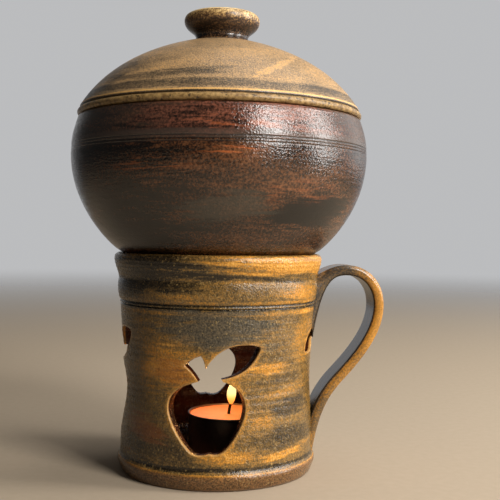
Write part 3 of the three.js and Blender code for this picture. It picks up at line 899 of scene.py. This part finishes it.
# The broad pale ring is the glaze's grey band with a painted sheen on the ridge above the scored
# lines; the three dark rings lie in the scored lines
for height, width, ring_tone in (
        (145.6, 1.7, tone(84, 68, 58)), (144.8, 0.35, tone(36, 28, 24)),
        (143.6, 0.3, tone(40, 28, 23)), (142.4, 0.3, tone(44, 30, 24))):
    ring = lined(tree, 0.0, where, wobble, [(height, width, 0.75)])
    colour = tint(tree, ring, colour, ring_tone)
tree.links.new(colour, shader["Base Color"])
rough = weigh(tree, grain["Coarse"], 0.1, 0.06)
dull = weigh(tree, drift, 0.5, times(tree, streak, 0.5))
rough = weigh(tree, ease(tree, dull, 0.44, 0.6), 0.08, rough)
tree.links.new(rough, shader["Roughness"])
skin = use(
    tree, glaze_skin, Place=where, Lines=0.9, Line_Breaks=110, Dimples=1.0, Dimple_Size=2.3)["Height"]
relief(tree, shader, skin, 0.17)
bowl.data.materials.append(bowl_glaze)
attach(bowl, "bowl")
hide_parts("baking_bowl")

# Lid: a low stoneware dome thrown upside down, with a rolled bead that rests on the bowl's rim and
# a flange inside it that keeps it in place. Its glaze fires lighter, ochre with grey bands.
lid_seat = 158.428
lid_wall = 5
flange_inside = 53.4
dome = pull(56, (63.5, 3.8), (57.5, 13.2), (46.04, 27.07), (15.5, 34.7))
lid_profile = [(0, 29.7), (8, 29.7)]
lid_profile += [p for p in clay_side(dome[::2], lid_wall) if p[0] < flange_inside]
lid_profile += [(54.3, 1.2), (54.6, -2), (54.9, -4.9), (55.5, -5.45), (56.4, -5.5)]
lid_profile += [(57.3, -5.5), (57.9, -5.2), (58.15, -4.6), (58.4, -0.4), (58.8, 0)]
lid_profile += crook(62.9, 1.5, 1.5, -90, 75, 12) + [(62.75, 3.15), (62.8, 3.4), (63.2, 3.7)]
lid_profile += dome[1:] + [(11, 34.7), (5, 34.7), (0, 34.7)]
lid_form = thrown(lid_profile)
bmesh.ops.translate(lid_form, vec=(0, 0, lid_seat * MM), verts=lid_form.verts)
uneven(lid_form, 0.18)
lid = to_piece("thrown_lid", lid_form)

lid_glaze, tree, shader, where = glaze("lid_glaze", IOR=1.55)
grain = use(tree, glaze_grain, Place=where, Size=1.45)
drift = drawn_out(tree, where, 22.0, 5.0, 6.2)
streak = drawn_out(tree, where, 62.0, 9.0, 4.9)
ragged = swing(tree, streak, 1.0)
cover = weigh(tree, drift, 0.22, 0.405)
cover = painted(tree, cover, where, ragged, [
    (26, 174.9, 14, 1.3, 0.46, 0.2),
    (-25, 170.0, 26, 1.7, 0.0, -0.22),
    (-8, 171.8, 16, 1.0, 0.05, -0.2),
    (-50, 176.0, 22, 5.0, 0.05, -0.12),
    (5, 186.0, 16, 3.0, 0.0, -0.1),
    # Painted shade: darkens the lid's left side, away from the window
    (-66, 172.0, 22, 9.0, 0.0, -0.14),
    (48, 168.0, 22, 2.0, 0.0, -0.14),
    (140, 174.0, 24, 3.0, 0.3, 0.15),
    (-130, 172.0, 30, 3.0, -0.1, -0.2),
])
cover = lined(tree, cover, where, times(tree, ragged, 0.7), [
    (165.6, 2.0, -0.26),
    (162.9, 0.38, 0.4),
    (162.1, 0.5, -0.45),
    (168.6, 0.8, 0.07),
    (192.6, 1.0, -0.2),
])
mottle = figure(tree, "ADD", swing(tree, grain["Grain"], 0.34), swing(tree, grain["Coarse"], 0.08))
colour = shades(
    tree, figure(tree, "ADD", cover, mottle),
    (0.0, tone(56, 48, 38)), (0.2, tone(98, 82, 62)), (0.4, tone(152, 124, 88)),
    (0.6, tone(198, 158, 110)), (0.8, tone(234, 178, 102)), (1.0, tone(250, 198, 120)),
)
on_bead = ease(tree, height_of(tree, where), 0.1619, 0.1613)
bead_spots = use(tree, iron_spots, Place=where, Scale=640.0, Share=0.22, Size=0.6)["Spots"]
bead_clay = shades(tree, grain["Coarse"], (0.1, tone(132, 100, 58)), (0.9, tone(192, 155, 97)))
bead_colour = tint(tree, times(tree, bead_spots, 0.85), bead_clay, tone(50, 36, 24))
colour = tint(tree, on_bead, colour, bead_colour)
tree.links.new(colour, shader["Base Color"])
tree.links.new(weigh(tree, grain["Coarse"], 0.16, 0.28), shader["Roughness"])
skin = use(
    tree, glaze_skin, Place=where, Lines=0.7, Line_Breaks=20, Dimples=0.5, Dimple_Size=1.4)["Height"]
skin = weigh(tree, grain["Grain"], 0.2, skin)
relief(tree, shader, skin, 0.18)
lid.data.materials.append(lid_glaze)
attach(lid, "lid")
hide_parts("lid")

# Knob: a small clay spool with a wide, slightly dished top, thrown on the crown of the lid and
# glazed with it. It stands a little off the lid's middle, as a hand-centred knob does.
knob_seat = 193.0
knob_aside = 0.4
knob_stem = pull(16, (11.9, 2.76), (12.1, 5.5), (16.9, 6.05), (17.2, 10.2))
knob_brim = pull(10, (17.2, 10.2), (17.2, 12.75), (15.5, 13.8), (12.5, 13.8))
knob_profile = [(0, 0), (8, 0), (13.9, 0), (13.75, 0.5), (13.1, 1.0), (12.4, 1.6), (12.05, 2.2)]
knob_profile += knob_stem + knob_brim[1:] + [(10.6, 13.6), (8.6, 12.9), (4, 12.55), (0, 12.5)]
knob_form = thrown(knob_profile, 96)
bmesh.ops.translate(knob_form, vec=(knob_aside * MM, 0, knob_seat * MM), verts=knob_form.verts)
knob = to_piece("thrown_knob", knob_form)

knob_glaze, tree, shader, where = glaze("knob_glaze", IOR=1.6)
grain = use(tree, glaze_grain, Place=where, Size=1.0)
drift = drawn_out(tree, where, 60.0, 4.0, 7.5)
ragged = swing(tree, drift, 1.0)
level = height_of(tree, where)
# Paler upwards to the ochre top rim; the darker neck and brim underside are partly painted shade
# under the brim
brim = weigh(tree, ragged, 0.002, level)
brim = ease(tree, brim, 0.1975, 0.2062, -0.06, 0.56)
cover = weigh(tree, drift, 0.24, brim)
dished = ease(tree, from_axis(tree, where), 0.0142, 0.0105)
dished = times(tree, dished, ease(tree, level, 0.203, 0.205))
cover = weigh(tree, dished, -0.26, cover)
cover = lined(tree, cover, where, times(tree, ragged, 0.9), [
    (206.1, 0.8, 0.2),
    (205.5, 0.25, -0.3),
    (193.8, 0.5, 0.16),
])
colour = shades(
    tree, figure(tree, "ADD", cover, swing(tree, grain["Grain"], 0.46)),
    (0.0, tone(30, 23, 17)), (0.22, tone(78, 54, 38)), (0.42, tone(132, 100, 62)),
    (0.62, tone(202, 162, 102)), (0.85, tone(246, 212, 146)),
)
tree.links.new(colour, shader["Base Color"])
tree.links.new(ease(tree, level, 0.1965, 0.2005, 0.22, 0.36), shader["Roughness"])
skin = use(tree, glaze_skin, Place=where, Lines=0.5, Dimples=0.5, Dimple_Size=1.0)
relief(tree, shader, skin["Height"], 0.1)
knob.data.materials.append(knob_glaze)
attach(knob, "lid")
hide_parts("lid_knob")

# Tealight cup: drawn from thin aluminium with a rolled rim and a shallow dished bottom. It stands
# loose on the stand's dark floor. Its outside is painted near-black as painted shade, with only a
# soft grey sheen, and its inside a warm copper as painted flame light.
tea_x, tea_z = 5.7, 6.8
cup_profile = [(0, 0.5), (12, 0.5), (15.8, 0.42), (16.6, 0.05), (17.5, 0), (18.1, 0.15)]
cup_profile += [(18.4, 0.7), (18.45, 1.6), (18.55, 8), (18.6, 16.6), (18.68, 17.0), (18.95, 17.15)]
cup_profile += [(19.0, 17.5), (18.9, 17.82), (18.65, 17.9), (18.35, 17.8), (18.2, 17.5)]
cup_profile += [(18.1, 10), (18.0, 1.6), (17.8, 0.85), (17.0, 0.75), (0, 0.9)]
cup_form = thrown(cup_profile, 128)
bmesh.ops.translate(cup_form, vec=(tea_x * MM, 0, tea_z * MM), verts=cup_form.verts)
cup = to_piece("drawn_cup", cup_form)
cup_metal, tree, shader, where = glaze("cup_metal", Metallic=0.85, Roughness=0.34)
brushed = drawn_out(tree, where, 90.0, 0.15, 2.2)
# Painted shade: the outside's near-black stands for the dark inside the stand
dull = shades(tree, brushed, (0.1, (0.028, 0.027, 0.026, 1)), (0.9, (0.06, 0.058, 0.056, 1)))
cup_inside = ease(tree, from_axis(tree, where, tea_x), 0.01865, 0.01835)
# Painted flame light: the inside's warm copper stands for the flame's glow on the metal
tree.links.new(tint(tree, cup_inside, dull, (0.55, 0.36, 0.24, 1)), shader["Base Color"])
tree.links.new(weigh(tree, brushed, 0.16, 0.28), shader["Roughness"])
relief(tree, shader, brushed, 0.05)
cup.data.materials.append(cup_metal)
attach(cup, "tealight")
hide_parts("tealight_cup")

# Wax: poured in the cup and burning, with a low molten pool round the wick and a thin meniscus at
# the cup's wall. Its top's orange colour and glow are painted flame light on white wax.
wax_profile = [(1.0, 14), (1.0, 16.7), (1.6, 16.45), (3.2, 16.2), (8, 16.25), (12.5, 16.45)]
wax_profile += [(15.6, 16.75), (17.0, 16.95), (17.6, 17.1), (17.78, 17.0), (17.75, 16.0)]
wax_profile += [(17.6, 8), (17.5, 2), (17.1, 1.2), (16.4, 1.1), (7.4, 1.1), (7.35, 1.35)]
wax_profile += [(1.9, 1.4), (1.9, 4.6), (1.0, 4.7), (1.0, 14)]
wax_form = thrown(wax_profile, 112)
bmesh.ops.translate(wax_form, vec=(tea_x * MM, 0, tea_z * MM), verts=wax_form.verts)
wax = to_piece("molten_wax", wax_form)
# Painted flame light: the orange base colour and the orange glow of the white wax
wax_body, tree, shader, where = glaze("wax_body", Roughness=0.4, Emission_Strength=0.72)
cloudy = clouds(tree, where, 240, 3)
reach = weigh(tree, cloudy, 0.004, from_axis(tree, where, tea_x))
glow_share = times(tree, reach, 50.0)
wax_glow = shades(tree, glow_share, (0.1, (1.0, 0.36, 0.085, 1)), (0.95, (0.98, 0.22, 0.035, 1)))
flame_lit_wax_colour = shades(tree, cloudy, (0.3, (0.86, 0.30, 0.08, 1)), (0.7, (0.9, 0.38, 0.12, 1)))
tree.links.new(wax_glow, shader["Emission Color"])
tree.links.new(flame_lit_wax_colour, shader["Base Color"])
relief(tree, shader, cloudy, 0.08)
wax.data.materials.append(wax_body)
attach(wax, "tealight")
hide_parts("tealight_wax")

# Wick: a plaited cotton cord with its foot in the tin disc. It is burnt black, leans a little
# and glows at its tip.
cord_radius, rows, row_height = 0.7, 34, 0.62
wick = bmesh.new()
bmesh.ops.create_circle(wick, cap_ends=True, radius=cord_radius, segments=16)
bmesh.ops.translate(wick, vec=(0, 0, 1.35), verts=wick.verts)
tip = next(iter(wick.faces))
for step in range(rows):
    grown = bmesh.ops.extrude_face_region(wick, geom=[tip])["geom"]
    tip = next(g for g in grown if isinstance(g, bmesh.types.BMFace))
    fresh = [g for g in grown if isinstance(g, bmesh.types.BMVert)]
    middle = tip.calc_center_median()
    bmesh.ops.translate(wick, vec=(0, 0, row_height), verts=fresh)
    bmesh.ops.rotate(wick, cent=middle, matrix=Matrix.Rotation(radians(14), 3, "Z"), verts=fresh)
    slim = (1.06, 0.94)[step % 2] if step < rows - 3 else 0.72
    bmesh.ops.scale(wick, vec=(slim, slim, 1), space=Matrix.Translation(-middle), verts=fresh)
face_out(wick)
for vert in wick.verts:
    lean = max(0, vert.co.z - 17.0) / 5.4
    vert.co.x += 1.1 * lean ** 1.5
    vert.co = Vector((vert.co.x + tea_x, vert.co.y, vert.co.z + tea_z)) * MM
wick_piece = to_piece("burnt_wick", wick)
wick_char, tree, shader, where = glaze("wick_char", Roughness=0.9, Emission_Strength=1.6)
plait = clouds(tree, where, 1500, 2)
char = shades(tree, plait, (0.3, (0.012, 0.009, 0.007, 1)), (0.7, (0.05, 0.035, 0.025, 1)))
ember = ease(tree, height_of(tree, where), 0.0282, 0.0292)
tree.links.new(char, shader["Base Color"])
tree.links.new(tint(tree, ember, (0, 0, 0, 1), (1.0, 0.22, 0.03, 1)), shader["Emission Color"])
relief(tree, shader, plait, 0.1)
wick_piece.data.materials.append(wick_char)
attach(wick_piece, "tealight")
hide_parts("wick")

# Flame: a small drop of burning gas round the wick's tip, deep orange at its foot and yellow
# above. It lights the wax and the red-brown inside of the stand.
flame_form = thrown([(0, -2.2), (0.7, -1.8), (1.3, -0.8), (1.8, 0.6), (2.1, 2.2), (2.1, 3.8),
                     (1.85, 5.4), (1.4, 7.0), (0.85, 8.6), (0.4, 9.8), (0, 10.6)], 32)
flame_z = 29.9
for vert in flame_form.verts:
    sway = max(0, vert.co.z / MM) / 8
    vert.co += Vector(((tea_x + 1.0 + 0.9 * sway ** 2) * MM, 0, flame_z * MM))
flame = to_piece("flame", flame_form)
flame_light, tree, shader, where = glaze("flame_light", Roughness=1.0, Emission_Strength=1.5)
flame_colour = shades(
    tree, ease(tree, height_of(tree, where), 0.0275, 0.0365),
    (0.0, (0.8, 0.17, 0.02, 1)), (0.3, (1.0, 0.42, 0.08, 1)), (0.7, (1.0, 0.74, 0.3, 1)),
)
tree.links.new(flame_colour, shader["Emission Color"])
shader["Base Color"].default_value = (1, 0.7, 0.3, 1)
flame.data.materials.append(flame_light)
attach(flame, "tealight")
glow = bpy.data.lights.new("candle_glow", "POINT")
glow.energy = 0.016
glow.color = (1, 0.5, 0.18)
glow.shadow_soft_size = 0.002
glow_place = bpy.data.objects.new("candle_glow", glow)
glow_place.location = ((tea_x + 1.4) * MM, 0, 0.0385)
scene.collection.objects.link(glow_place)

# Wick sustainer: a stamped tin disc with a short collar, pressed round the wick's foot and
# covered by the wax.
tin, tree, shader, where = glaze("tin", Metallic=1.0, Roughness=0.35)
rolled = drawn_out(tree, where, 120.0, 3.0, 9.1)
tin_colour = shades(tree, rolled, (0.1, (0.42, 0.42, 0.43, 1)), (0.9, (0.62, 0.62, 0.64, 1)))
tree.links.new(tin_colour, shader["Base Color"])
relief(tree, shader, rolled, 0.02)
sustainer = frame["nodes"]["wick_sustainer"]
sustainer.data.materials.clear()
sustainer.data.materials.append(tin)
